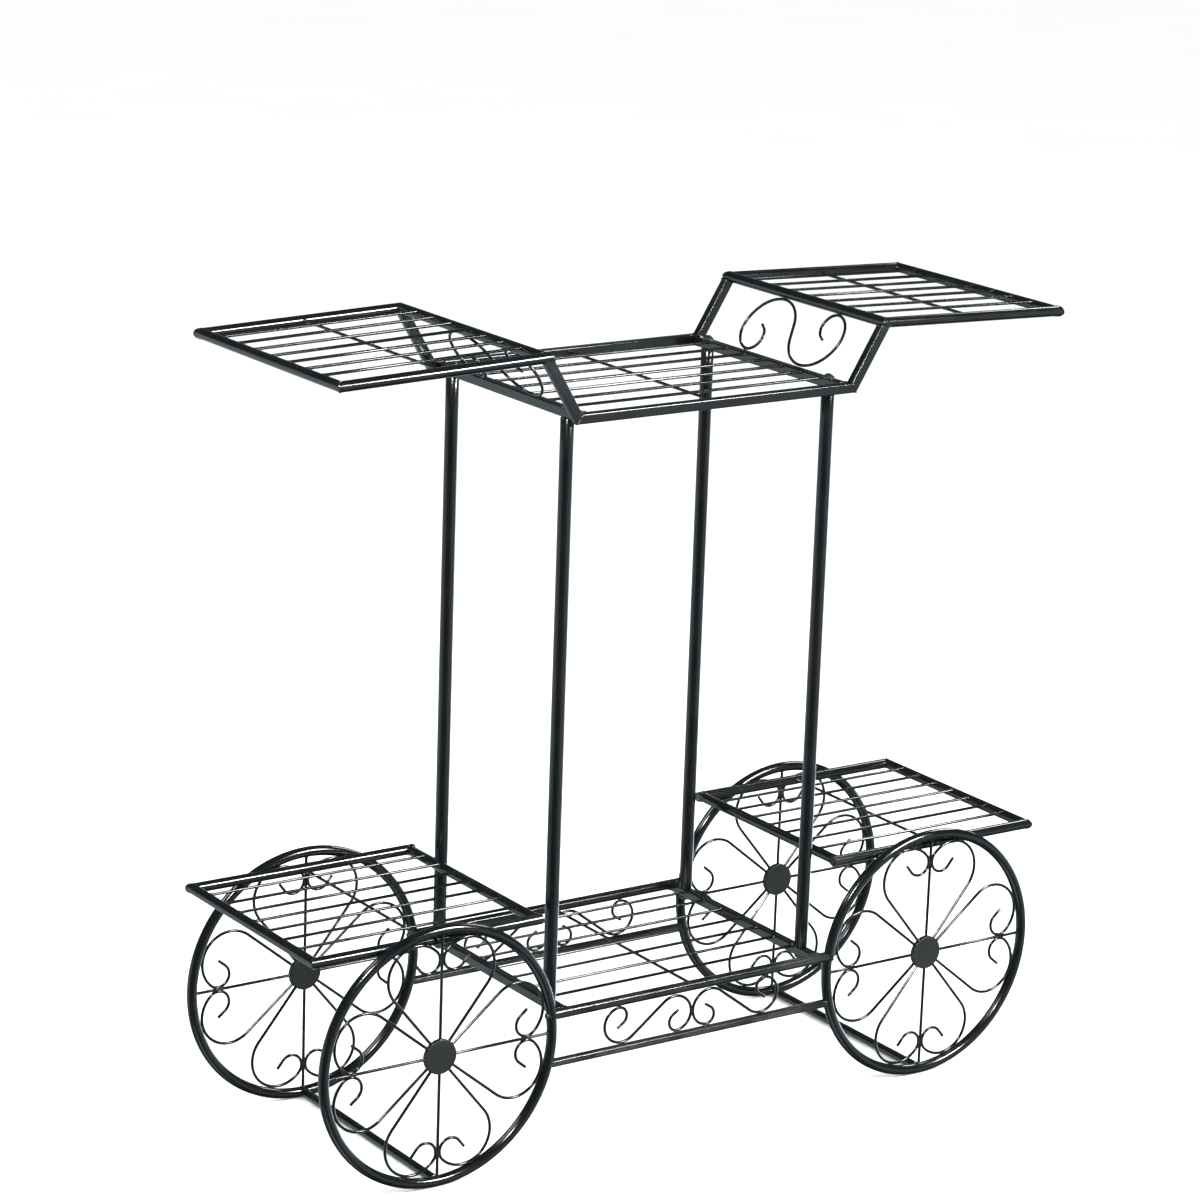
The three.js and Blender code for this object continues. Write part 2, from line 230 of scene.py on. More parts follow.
def sweep(points, section, across, closed=False, scales=None):
    """A section carried along a line. Its first axis stays square to the line, nearest to across."""
    line = np.array([tuple(p) for p in points], float)
    count = len(line)
    if closed:
        heading = unit(np.roll(line, -1, axis=0) - np.roll(line, 1, axis=0))
    else:
        steps = unit(np.diff(line, axis=0))
        heading = unit(np.vstack([steps[:1], steps[:-1] + steps[1:], steps[-1:]]))
    side = np.tile(np.array(tuple(across), float), (count, 1))
    side = unit(side - heading * (side * heading).sum(1, keepdims=True))
    out = np.cross(heading, side)
    size = np.ones(count) if scales is None else np.array(scales, float)
    shape = np.array(section, float)
    n = len(shape)
    spread = side[:, None] * shape[None, :, :1] + out[:, None] * shape[None, :, 1:]
    verts = (line[:, None] + spread * size[:, None, None]).reshape(-1, 3)
    faces = []
    for i in range(count if closed else count - 1):
        a, b = i * n, ((i + 1) % count) * n
        for j in range(n):
            k = (j + 1) % n
            faces.append((a + j, a + k, b + k, b + j))
    if not closed:
        faces.append(tuple(range(n - 1, -1, -1)))
        faces.append(tuple(range((count - 1) * n, count * n)))
    return verts, faces


def mitred(corners, section, across, closed=False):
    """A section carried round flat corners, stretched at each so that straight runs keep their size."""
    count = len(corners)
    verts, rows = [], []
    for i, corner in enumerate(corners):
        back = (corner - corners[i - 1]).normalized() if closed or i else None
        on = (corners[(i + 1) % count] - corner).normalized() if closed or i < count - 1 else None
        back, on = back or on, on or back
        heading = (back + on).normalized()
        out = heading.cross(across)
        stretch = 1 / heading.dot(on)
        runs = [(corner, out, stretch)]
        if stretch > 1.01:
            before, after = corner - back * MITRE_RUN, corner + on * MITRE_RUN
            runs = [(before, back.cross(across), 1.0), *runs, (after, on.cross(across), 1.0)]
        for place, side, grow in runs:
            rows.append(len(verts))
            verts.extend(place + across * u + side * (w * grow) for u, w in section)
    n = len(section)
    faces = []
    for a, b in zip(rows, rows[1:] + (rows[:1] if closed else [])):
        faces.extend((a + j, a + (j + 1) % n, b + (j + 1) % n, b + j) for j in range(n))
    if not closed:
        faces.append(tuple(range(n - 1, -1, -1)))
        faces.append(tuple(range(rows[-1], rows[-1] + n)))
    return np.array([tuple(v) for v in verts], float), faces


def with_soft_ends(points, radius):
    """The same line with extra points near its ends, and the size of the section at each point."""
    first, last = points[0], points[-1]
    start = (points[1] - first).normalized()
    stop = (points[-2] - last).normalized()
    depths = ((0.0, 0.72), (0.12, 0.9), (0.34, 1.0))
    head = [first + start * (radius * d) for d, _ in depths]
    tail = [last + stop * (radius * d) for d, _ in reversed(depths)]
    scales = [s for _, s in depths]
    middle = list(points[1:-1])
    return head + middle + tail, scales + [1.0] * len(middle) + scales[::-1]


def rod(points, radius, sides, across):
    """Round stock with softly rounded ends."""
    line, scales = with_soft_ends(points, radius)
    return sweep(line, circle(radius, sides), across, scales=scales)


def tube(points, across=Z, radius=FRAME_TUBE):
    return rod(points, radius, TUBE_SIDES, across)


def wire(points, across):
    return rod(points, WIRE, WIRE_SIDES, across)


def square_bar(start, end):
    return sweep([start, end], rounded_square(BAR_HALF, BAR_EDGE), Z)


def lathe(profile, centre, axis, sides):
    """A closed turned shape: (radius, height) pairs from the axis out and back to it."""
    across = X if abs(axis.x) < 0.9 else Z
    other = axis.cross(across)
    verts, rings = [], []
    for radius, height in profile:
        if radius < 1e-6:
            rings.append([len(verts)])
            verts.append(tuple(centre + axis * height))
            continue
        rings.append(list(range(len(verts), len(verts) + sides)))
        for i in range(sides):
            a = 2 * math.pi * i / sides
            spoke = across * math.cos(a) + other * math.sin(a)
            verts.append(tuple(centre + axis * height + spoke * radius))
    faces = []
    for a, b in zip(rings, rings[1:]):
        for i in range(sides):
            j = (i + 1) % sides
            quad = [a[i % len(a)], a[j % len(a)], b[j % len(b)], b[i % len(b)]]
            face = tuple(dict.fromkeys(quad))
            if len(face) > 2:
                faces.append(face)
    return np.array(verts, float), faces


def moved(shell, change):
    verts, faces = shell
    turned = [tuple(change @ Vector(v)) for v in verts]
    return np.array(turned, float), faces


# ---- Welds: small uneven beads and spots, from one seeded source ----

# Weld spots: half sizes along, across and up in mm, and how uneven they are as a share of that.
SPOTS = {
    "petal_on_ring": (2.7, 1.5, 1.3),
    "petal_on_hub": (1.9, 2.0, 1.1),
    "petals_on_spoke": (2.5, 0.95, 1.6),
    "spoke_on_hub": (2.0, 2.0, 1.1),
    "spoke_on_ring": (2.3, 2.3, 1.3),
    "scroll_on_low_rail": (3.0, 1.6, 1.2),
    "scroll_foot": (2.6, 1.9, 1.1),
    "scroll_crest": (2.2, 1.7, 1.2),
    "upper_scroll_nub": (2.4, 1.8, 1.3),
    "rod_on_cross_wire": (2.0, 1.9, 1.2),
    "cross_wire_end": (2.3, 1.3, 1.9),
    "shelf_on_ring": (4.2, 1.4, 1.7),
}
SPOT_LUMPS = 0.16

# Weld beads: radii and the distance between ripples in mm.
RING_JOINT_BEAD = 1.0
COLLAR_BEAD = 0.9
THIN_COLLAR_BEAD = 0.8
STRUT_BEAD = 0.9
BAR_BEAD = 0.85
MITRE_BEAD = 0.7
BEAD_SIDES = 8
RIPPLE_PITCH = 1.9

rng = random.Random(41)


def lump(point, seed, size):
    """A smooth random number, about -1 to 1, at a point."""
    return noise.noise(Vector(point) / size + Vector((seed, seed * 0.7, -seed)))


def spot(centre, size, normal=Z, along=X):
    """A weld spot: a flattened uneven ball. size is (along, across, up) in mm."""
    made = bmesh.new()
    bmesh.ops.create_icosphere(made, subdivisions=3, radius=1.0)
    made.verts.ensure_lookup_table()
    up = Vector(normal).normalized()
    first = (Vector(along) - up * Vector(along).dot(up)).normalized()
    second = up.cross(first)
    seed = rng.uniform(-40, 40)
    grow = rng.uniform(0.9, 1.12)
    verts = []
    for v in made.verts:
        p = v.co * (grow * (1 + SPOT_LUMPS * lump(v.co, seed, 0.55)))
        flat = first * p.x * size[0] + second * p.y * size[1]
        verts.append(tuple(Vector(centre) + flat + up * p.z * size[2]))
    faces = [tuple(v.index for v in f.verts) for f in made.faces]
    made.free()
    return np.array(verts, float), faces


def bead(points, radius, across, ripple=0.16):
    """A rippled weld bead round a closed line."""
    seed = rng.uniform(-40, 40)
    length = 0.0
    scales = []
    for i, p in enumerate(points):
        if i:
            length += (p - points[i - 1]).length
        wave = math.sin(2 * math.pi * length / RIPPLE_PITCH + seed)
        scales.append(1 + ripple * 0.5 * wave + ripple * 1.6 * lump(p, seed, 2.4))
    return sweep(points, circle(radius, BEAD_SIDES), across, closed=True, scales=scales)


def collar(end, along, tube_radius, onto_axis, onto_radius):
    """The line on another tube's surface where a round tube meets it, its end at that tube's axis."""
    side = Vector(onto_axis).normalized()
    up = along.cross(side).normalized()
    line = []
    for i in range(COLLAR_STEPS):
        a = 2 * math.pi * i / COLLAR_STEPS
        height = tube_radius * math.sin(a)
        depth = math.sqrt(max(onto_radius**2 - height**2, 0.05))
        line.append(end - along * depth + side * (tube_radius * math.cos(a)) + up * height)
    return line


def collar_bead(end, along, tube_radius, onto_axis, onto_radius, radius=COLLAR_BEAD):
    line = collar(end, along, tube_radius + 0.1, onto_axis, onto_radius + 0.1)
    return bead(line, radius, along)


def mitre_bead(corner, back, on, outline, across):
    """The weld round a mitred corner between the directions back and on."""
    heading = (on - back).normalized()
    out = heading.cross(across)
    stretch = 1 / heading.dot(on)
    points = [corner + across * u + out * (w * stretch) for u, w in outline]
    dense = resample(points + points[:1], 56)[:-1]
    return bead(dense, MITRE_BEAD, heading, ripple=0.25)


# ---- Materials ----


class Nodes:
    """A short way to write the node tree of a material or a world."""

    def __init__(self, owner):
        self.owner = owner
        owner.use_nodes = True
        self.tree = owner.node_tree
        self.tree.nodes.clear()

    def put(self, socket, value):
        if isinstance(value, bpy.types.NodeSocket):
            self.tree.links.new(value, socket)
        else:
            socket.default_value = value

    def add(self, kind, **inputs):
        node = self.tree.nodes.new(kind)
        for key, value in inputs.items():
            self.put(node.inputs[key.replace("_", " ")], value)
        return node

    def where(self, kind):
        return self.add("ShaderNodeTexCoord").outputs[kind]

    def edge(self, flat, sharp):
        """0 on flat and hollow places, 1 on sharp edges."""
        point = self.add("ShaderNodeNewGeometry").outputs["Pointiness"]
        return self.ramp(point, flat, sharp, 0.0, 1.0)

    def noise(self, where, scale, detail=3.0, roughness=0.5):
        settings = {"Scale": scale, "Detail": detail, "Roughness": roughness}
        return self.add("ShaderNodeTexNoise", Vector=where, **settings).outputs["Fac"]

    def ramp(self, value, low, high, to_low, to_high, smooth=False):
        limits = {"From Min": low, "From Max": high, "To Min": to_low, "To Max": to_high}
        node = self.add("ShaderNodeMapRange", Value=value, **limits)
        if smooth:
            node.interpolation_type = "SMOOTHSTEP"
        return node.outputs["Result"]

    def math(self, operation, a, b):
        node = self.add("ShaderNodeMath")
        node.operation = operation
        for socket, value in zip(node.inputs, (a, b)):
            self.put(socket, value)
        return node.outputs[0]

    def mix(self, amount, a, b):
        node = self.add("ShaderNodeMix")
        node.data_type = "RGBA"
        for index, value in ((0, amount), (6, a), (7, b)):
            self.put(node.inputs[index], value)
        return node.outputs[2]

    def bump(self, height, strength, distance):
        node = self.add("ShaderNodeBump", Height=height, Strength=strength, Distance=distance)
        return node.outputs["Normal"]

    def by_ray(self, plain, glossy):
        """One shader for glossy rays and another for all the rest."""
        mix = self.add("ShaderNodeMixShader")
        seen = self.add("ShaderNodeLightPath").outputs["Is Glossy Ray"]
        for socket, value in zip(mix.inputs, (seen, plain, glossy)):
            self.put(socket, value)
        return mix.outputs[0]

    def end(self, surface, kind="ShaderNodeOutputMaterial"):
        self.put(self.add(kind).inputs["Surface"], surface)
        return self.owner

    def finish(self, **inputs):
        return self.end(self.add("ShaderNodeBsdfPrincipled", **inputs).outputs["BSDF"])


def powder_coat(name, deep, thin, roughness, coat, grain):
    """Black powder coat: orange peel and fine grain, paler on sharp edges, with an uneven gloss."""
    n = Nodes(bpy.data.materials.new(name))
    where = n.where("Object")
    peel = n.noise(where, 900.0, 2.0, 0.45)
    grit = n.noise(where, 3200.0, 2.0, 0.6)
    patch = n.noise(where, 26.0, 4.0, 0.55)
    drift = n.noise(where, 7.0, 2.0, 0.5)
    wear = n.math("MULTIPLY", n.edge(0.53, 0.64), n.ramp(patch, 0.42, 0.62, 0.15, 1.0))
    tone = n.mix(n.ramp(patch, 0.3, 0.7, 0.0, 1.0), deep, thin)
    colour = n.mix(n.math("MULTIPLY", wear, 0.5), tone, (0.05, 0.053, 0.054, 1.0))
    cloud = n.math("ADD", n.math("MULTIPLY", drift, 0.5), n.math("MULTIPLY", patch, 0.5))
    gloss = n.ramp(cloud, 0.3, 0.7, *roughness)
    rough = n.math("ADD", gloss, n.ramp(grit, 0.3, 0.8, -0.03, 0.05))
    height = n.math("ADD", n.math("MULTIPLY", peel, 0.8), n.math("MULTIPLY", grit, 0.2))
    normal = n.bump(height, grain, 0.0004)
    return n.finish(
        Base_Color=colour,
        Roughness=rough,
        Metallic=0.0,
        IOR=1.52,
        Normal=normal,
        Coat_Weight=coat,
        Coat_Roughness=0.1,
    )


def plated_screw():
    """Black zinc-plated fastener: dark and mottled, worn bright on sharp edges where a driver and washer
    rub.
    """
    n = Nodes(bpy.data.materials.new("black_zinc_fastener"))
    where = n.where("Object")
    mottle = n.noise(where, 420.0, 4.0, 0.6)
    scratch = n.noise(where, 1500.0, 3.0, 0.7)
    base = n.mix(mottle, (0.012, 0.012, 0.014, 1.0), (0.04, 0.041, 0.045, 1.0))
    colour = n.mix(n.math("MULTIPLY", n.edge(0.52, 0.62), 0.7), base, (0.32, 0.33, 0.34, 1.0))
    rough = n.ramp(scratch, 0.3, 0.7, 0.22, 0.42)
    normal = n.bump(scratch, 0.25, 0.0002)
    return n.finish(Base_Color=colour, Roughness=rough, Metallic=0.75, Normal=normal)


FRAME_COAT = powder_coat(
    "black_powder_coat",
    deep=(0.0022, 0.0028, 0.0031, 1),
    thin=(0.0043, 0.0051, 0.0056, 1),
    roughness=(0.10, 0.18),
    coat=0.25,
    grain=0.14,
)
# The hub is the frame's black paint, only matter, with its base colour painted paler: painted light that
# stands in for the broad light on its flat face.
HUB_COAT_PAINTED_LIGHT = powder_coat(
    "matt_powder_coat_painted_light",
    deep=(0.0034, 0.0043, 0.0048, 1),
    thin=(0.0063, 0.0074, 0.0081, 1),
    roughness=(0.44, 0.58),
    coat=0.05,
    grain=0.5,
)
SCREW = plated_screw()


# ---- Pieces ----

SHARP_ANGLE = math.radians(40)


def raw_object(name, shells):
    """One object holding closed shells, in metres, each with its faces outward."""
    verts, faces = [], []
    for points, polygons in shells:
        offset = len(verts)
        verts.extend(map(tuple, np.asarray(points) * MM))
        faces.extend(tuple(i + offset for i in face) for face in polygons)
    mesh = bpy.data.meshes.new(name)
    mesh.from_pydata(verts, [], faces)
    made = bmesh.new()
    made.from_mesh(mesh)
    bmesh.ops.recalc_face_normals(made, faces=made.faces)
    made.to_mesh(mesh)
    made.free()
    return bpy.data.objects.new(name, mesh)


def combine(base, shells, operation):
    """Applies one boolean between the base object's mesh and every shell."""
    if not shells:
        return
    tools = bpy.data.collections.new("tools")
    for i, shell in enumerate(shells):
        tools.objects.link(raw_object(f"tool_{i}", [shell]))
    change = base.modifiers.new(operation, "BOOLEAN")
    change.operation = operation
    change.solver = "MANIFOLD"
    change.operand_type = "COLLECTION"
    change.collection = tools
    seen = bpy.context.evaluated_depsgraph_get()
    result = bpy.data.meshes.new_from_object(base.evaluated_get(seen))
    base.modifiers.clear()
    old = base.data
    base.data = result
    bpy.data.meshes.remove(old)
    for tool in list(tools.objects):
        mesh = tool.data
        bpy.data.objects.remove(tool)
        bpy.data.meshes.remove(mesh)
    bpy.data.collections.remove(tools)


def piece(node, shells, material, cuts=()):
    """Fuses shells into one closed mesh that stands for a CAD node."""
    made = raw_object(f"{node}_look", shells[:1])
    bpy.context.scene.collection.objects.link(made)
    combine(made, shells[1:], "UNION")
    combine(made, list(cuts), "DIFFERENCE")
    made.data.name = made.name
    made.data.materials.clear()
    made.data.materials.append(material)
    made.data.shade_smooth()
    made.data.set_sharp_from_angle(angle=SHARP_ANGLE)
    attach(made, "root")
    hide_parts(node)


def coated(node, shells, cuts=()):
    piece(node, shells, FRAME_COAT, cuts)


# ---- Wheels ----

# The butt joint in a ring: degrees from level, mm its ends are out of line, and degrees that this takes.
JOINT_TURN = 7.0
JOINT_STEP = 1.1
JOINT_REACH = 16.0


def ring_line(sx, y, joint=True):
    """The ring's centre line. Its ends meet, a little out of line, on the side that faces the middle."""
    points = []
    start = 180.0 - JOINT_TURN if sx > 0 else JOINT_TURN
    for i in range(RING_STEPS + 1):
        share = i / RING_STEPS
        angle = math.radians(start + 360.0 * share)
        slip = 0.0
        if joint:
            near = min(share, 1 - share) * 360.0 / JOINT_REACH
            ease = max(0.0, 1 - near) ** 2
            slip = ease * JOINT_STEP * (0.5 if share < 0.5 else -0.5)
        reach = RING_R + slip
        place = Vector((math.cos(angle) * reach, slip * 0.5, math.sin(angle) * reach))
        points.append(Vector((sx * WHEEL_X, y, WHEEL_Z)) + place)
    return points


def ring_shell(sx, y, radius):
    """The plain closed ring, used to shape whatever butts into it."""
    points = ring_line(sx, y, joint=False)[:-1]
    return sweep(points, circle(radius, TUBE_SIDES), Y, closed=True)


def ring_joint_bead(sx, y):
    line = ring_line(sx, y)
    middle = (line[0] + line[-1]) / 2
    along = (line[1] - line[0]).normalized()
    out = (middle - Vector((sx * WHEEL_X, y, WHEEL_Z))).normalized()
    points = []
    for i in range(40):
        a = 2 * math.pi * i / 40
        points.append(middle + out * (FRAME_TUBE * math.cos(a)) + Y * (FRAME_TUBE * math.sin(a)))
    return bead(points, RING_JOINT_BEAD, along, ripple=0.3)


HEART_HALF = bend_wire(
    (10.87, 14.97), 50.8, ((67.5,), (32.7, 60.7), (31.9, 115.2), (12.6, 184.3), (10.1,))
)
HEARTS = (("top", 0), ("right", 90), ("bottom", 180), ("left", 270))

# The part of a petal past its outer bend, where it can come near the spoke again.
PETAL_TIP = HEART_HALF[20:]


def heart_shells():
    """One petal pair, its spoke, and the weld spots that hold them, with the hub at the origin."""
    half = HEART_HALF
    into_hub = half[0] - (half[1] - half[0]).normalized() * 1.1
    line = [into_hub] + half[1:]
    shells = [wire([Vector((0, 0, HUB_R - 1.0)), Vector((0, 0, RING_R - FRAME_TUBE + 0.8))], Y)]
    for side in (-1, 1):
        shells.append(wire([Vector((side * p.x, 0, p.y)) for p in line], Y))
    ring_inner = RING_R - FRAME_TUBE
    top = max(range(len(half)), key=lambda i: half[i].length)
    for side in (-1, 1):
        touch = half[top].normalized() * (ring_inner - 0.5)
        touch = (side * touch.x, 0, touch.y)
        tangent = (half[top + 1] - half[top - 1]).normalized()
        along = (side * tangent.x, 0, tangent.y)
        shells.append(spot(touch, SPOTS["petal_on_ring"], touch, along))
        rim = half[0].normalized() * (HUB_R - 0.1)
        rim = (side * rim.x, 0, rim.y)
        shells.append(spot(rim, SPOTS["petal_on_hub"], rim, Y))
    shells.append(spot((0, 0, HUB_R - 0.1), SPOTS["spoke_on_hub"], Z, Y))
    shells.append(spot((0, 0, ring_inner), SPOTS["spoke_on_ring"], Z, X))
    return shells


def spoke_weld():
    """Where a pair of petals passes close to the spoke between them."""
    closest = min(PETAL_TIP, key=lambda p: p.x)
    return spot((0, 0, closest.y), SPOTS["petals_on_spoke"], Y, X)


def bolt_cutter(sx, y, radius, inner, outer):
    start, end = Vector((sx * inner, y, LOWER_Z)), Vector((sx * outer, y, LOWER_Z))
    return sweep([start, end], circle(radius, 24), Z)


def hub_profile():
    """A pressed disc with a rounded rim and a faintly dished face."""
    half, edge = HUB_T / 2, 0.9
    profile = [(0.0, -half + 0.12), (HUB_R * 0.6, -half + 0.1), (HUB_R - 2.2, -half)]
    for k in range(6):
        a = math.radians(90 * k / 5)
        profile.append((HUB_R - edge + edge * math.sin(a), -half + edge - edge * math.cos(a)))
    mirrored = [(r, -h) for r, h in reversed(profile)]
    return profile + mirrored


for face, sy in FACES:
    for side, sx in SIDES:
        y = sy * WHEEL_Y
        tag = f"{face}_{side}"
        centre = Vector((sx * WHEEL_X, y, WHEEL_Z))
        shank_hole = bolt_cutter(sx, y, RING_BOLT_HOLE, SIDE_X, RING_INNER_X + 5)
        head_hole = bolt_cutter(sx, y, RING_HEAD_HOLE, RING_INNER_X - RING_HEAD_SUNK, RING_INNER_X + 6)
        ring = tube(ring_line(sx, y), Y)
        coated(f"wheel_ring_{tag}", [ring, ring_joint_bead(sx, y)], [shank_hole, head_hole])
        hub = lathe(hub_profile(), centre, Y * sy, 96)
        piece(f"hub_disc_{tag}", [hub], HUB_COAT_PAINTED_LIGHT)
        for where, turn in HEARTS:
            place = Matrix.Translation(centre) @ Matrix.Rotation(math.radians(turn), 4, "Y")
            shells = [moved(s, place) for s in [*heart_shells(), spoke_weld()]]
            coated(f"scroll_heart_{tag}_{where}", shells)

for side, sx in SIDES:
    ends = [Vector((sx * WHEEL_X, s * (WHEEL_Y - 2.2), CROSS_BAR_Z)) for s in (-1, 1)]
    shells = [tube(ends, Z, LIGHT_TUBE)]
    for end, s in zip(ends, (-1, 1)):
        face_point = Vector((sx * WHEEL_X, s * WHEEL_Y, CROSS_BAR_Z))
        shells.append(collar_bead(face_point, Y * s, LIGHT_TUBE, X, FRAME_TUBE, THIN_COLLAR_BEAD))
    cuts = [ring_shell(sx, s * WHEEL_Y, FRAME_TUBE + CROSS_BAR_TO_RING) for s in (-1, 1)]
    coated(f"floor_cross_bar_{side}", shells, cuts)


# ---- Lower centre shelf ----


def ring_to_ring(y, z, radius):
    reach = ring_inner_x(z) - FRAME_TUBE
    return tube([Vector((-reach, y, z)), Vector((reach, y, z))], Z, radius)


def side_bars(y, z):
    return [square_bar(Vector((sx * SIDE_X, -y, z)), Vector((sx * SIDE_X, y, z))) for _, sx in SIDES]


def bar_welds(y, z, onto_square=False):
    """The bead round each square bar where it meets the two rails."""
    beads = []
    outline = rounded_square(BAR_HALF + 0.1, BAR_EDGE, 3)
    for _, sx in SIDES:
        for s in (-1, 1):
            points = []
            for u, w in outline:
                depth = BAR_HALF if onto_square else math.sqrt(FRAME_TUBE**2 - min(abs(w), 4.6) ** 2)
                points.append(Vector((sx * SIDE_X + u, s * (y - depth), z + w)))
            dense = resample(points + points[:1], 64)[:-1]
            beads.append(bead(dense, BAR_BEAD, Y, ripple=0.22))
    return beads


def post_holes(z):
    holes = []
    for _, sx in SIDES:
        for _, sy in FACES:
            middle, reach = Vector((sx * SIDE_X, sy * POST_Y, z)), Z * 9
            holes.append(sweep([middle - reach, middle + reach], circle(POST_BOLT_HOLE, 24), X))
    return holes


lower_shells = [ring_to_ring(sy * WHEEL_Y, LOWER_Z, FRAME_TUBE) for _, sy in FACES]
lower_shells += side_bars(WHEEL_Y, LOWER_Z) + bar_welds(WHEEL_Y, LOWER_Z)
lower_cuts = post_holes(LOWER_Z)
for _, sy in FACES:
    for _, sx in SIDES:
        lower_cuts.append(ring_shell(sx, sy * WHEEL_Y, FRAME_TUBE + FRAME_TO_RING))
        lower_cuts.append(bolt_cutter(sx, sy * WHEEL_Y, RING_BOLT_HOLE, SIDE_X, RING_INNER_X))
coated("lower_centre_frame", lower_shells, lower_cuts)


def rail_scroll_shells(y):
    """Two mirrored S-scrolls with their feet up to the rail and spots down to the lower one."""
    half = bend_wire((0, 0), 37, ((24.1,), (21.6, -98.6), (18, -112.5), (9.6, -153.4), (8.2,)))
    line = whole_scroll(half)
    low = min(line, key=lambda p: p.y)
    high = max(line, key=lambda p: p.y)
    under_rail = LOWER_Z - FRAME_TUBE
    shells = []
    for _, sx in SIDES:
        points = [Vector((sx * (p.x - SCROLL_X), y, SCROLL_Z + p.y)) for p in line]
        shells.append(wire(points, Y))
        low_at = Vector((sx * (low.x - SCROLL_X), y, LOW_RAIL_Z + LIGHT_TUBE + 0.2))
        shells.append(spot(low_at, SPOTS["scroll_on_low_rail"]))
        high_at = Vector((sx * (high.x - SCROLL_X), y, SCROLL_Z + high.y + WIRE * 0.6))
        foot_top = Vector((high_at.x, y, under_rail + 0.4))
        shells.append(wire([high_at - Z * 0.4, foot_top], Y))
        shells.append(spot(foot_top, SPOTS["scroll_foot"]))
        shells.append(spot(high_at, SPOTS["scroll_crest"]))
    return shells


# A ring bolt's (radius, height) outline from the shank's tip to the crown, and its hexagon recess.
RING_BOLT = [(0, -20), (1.9, -20), (1.9, -1.4), (2.9, -1.4), (3.0, -1.0), (3.0, 0.3)]
RING_BOLT += [(2.5, 1.1), (1.5, 1.5), (0, 1.6)]
RING_BOLT_RECESS = circle(1.15, 6)

for face, sy in FACES:
    y = sy * WHEEL_Y
    rail_cuts = [ring_shell(sx, y, FRAME_TUBE + RAIL_TO_RING) for _, sx in SIDES]
    coated(f"lower_rail_{face}", [ring_to_ring(y, LOW_RAIL_Z, LIGHT_TUBE)], rail_cuts)
    coated(f"rail_scrolls_{face}", rail_scroll_shells(y))
    for side, sx in SIDES:
        inward = X * sx
        seat = Vector((sx * RING_INNER_X, y, LOWER_Z))
        bolt = lathe(RING_BOLT, seat, inward, 40)
        recess = sweep([seat + inward * 0.5, seat + inward * 2.4], RING_BOLT_RECESS, Z)
        piece(f"ring_bolt_{face}_{side}", [bolt], SCREW, [recess])


# ---- Grids ----


def grid_shells(inner, outer, y, z, end_depth):
    """Rods along the length, a cross wire under them at mid-length, and every weld."""
    pitch = 2 * y / (RODS - 1 + 2 * END_GAP)
    rod_z = z + ROD_LIFT
    middle = (inner + outer) / 2
    low = rod_z - CROSS_WIRE_DROP
    shells = []
    for i in range(RODS):
        at = pitch * (i - (RODS - 1) / 2)
        ends = (Vector((inner - end_depth, at, rod_z)), Vector((outer + end_depth, at, rod_z)))
        shells.append(wire(ends, Z))
        for end, s in zip(ends, (1, -1)):
            hold = end + X * (s * rng.uniform(0.6, 1.4)) + Z * rng.uniform(-0.2, 0.1)
            size = (rng.uniform(1.7, 2.5), rng.uniform(1.9, 2.4), rng.uniform(1.7, 2.0))
            shells.append(spot(hold, size))
        shells.append(spot((middle, at, low + WIRE * 0.9), SPOTS["rod_on_cross_wire"]))
    reach = y - FRAME_TUBE + 0.6
    shells.append(wire([Vector((middle, -reach, low)), Vector((middle, reach, low))], Z))
    for s in (-1, 1):
        shells.append(spot((middle, s * (reach - 0.5), low), SPOTS["cross_wire_end"]))
    return shells


INNER_ROD = SIDE_X - BAR_HALF
coated("lower_centre_grid", grid_shells(-INNER_ROD, INNER_ROD, WHEEL_Y, LOWER_Z, 0.4))
coated("upper_centre_grid", grid_shells(-INNER_ROD, INNER_ROD, UPPER_Y, UPPER_Z, 0.4))


# ---- Outer shelves ----


def outer_frame_shells(inner, outer, y, z, closed, radius=FRAME_TUBE, welded=True):
    """Four tubes mitred round the corners. An open frame's long tubes run on past its inner bar."""
    start = inner if closed else inner - radius
    corners = [Vector((x, side, z)) for x, side in ((start, -y), (outer, -y), (outer, y), (start, y))]
    outline = circle(radius, TUBE_SIDES)
    shells = [mitred(corners, outline, Z, closed)]
    if not closed:
        shells.append(tube([Vector((inner, -y + 2, z)), Vector((inner, y - 2, z))]))
        for s in (-1, 1):
            shells.append(collar_bead(Vector((inner, s * y, z)), Y * s, FRAME_TUBE, X, FRAME_TUBE))
    if welded:
        ring = circle(radius - 0.15, 40)
        for i in range(4) if closed else (1, 2):
            corner = corners[i]
            back = (corners[i - 1] - corner).normalized()
            on = (corners[(i + 1) % 4] - corner).normalized()
            shells.append(mitre_bead(corner, back, on, ring, Z))
    return shells


def outer_grid_shells(inner, outer, y, z):
    return grid_shells(inner + FRAME_TUBE, outer - FRAME_TUBE, y, z, 4.2)


def ring_contacts():
    """Weld beads where the lower outer shelf's long tubes pass the insides of the rings."""
    half = math.sqrt(RING_R**2 - (LOWER_OUTER_Z - WHEEL_Z) ** 2)
    spots = []
    for s in (-1, 1):
        for way in (-1, 1):
            x = WHEEL_X + way * half
            mid = (LOWER_OUTER_Y + WHEEL_Y) / 2
            for lift in (1.8, -1.8):
                spots.append(spot((x, s * mid, LOWER_OUTER_Z + lift), SPOTS["shelf_on_ring"]))
    return spots


def half_turn(sx):
    return Matrix.Identity(4) if sx > 0 else Matrix.Rotation(math.pi, 4, "Z")


for side, sx in SIDES:
    turn = half_turn(sx)
    shells = outer_frame_shells(*LOWER_OUTER_X, LOWER_OUTER_Y, LOWER_OUTER_Z, False)
    shells += ring_contacts()
    coated(f"lower_outer_frame_{side}", [moved(s, turn) for s in shells])
    shells = outer_grid_shells(*LOWER_OUTER_X, LOWER_OUTER_Y, LOWER_OUTER_Z)
    coated(f"lower_outer_grid_{side}", [moved(s, turn) for s in shells])


# ---- Upper deck ----

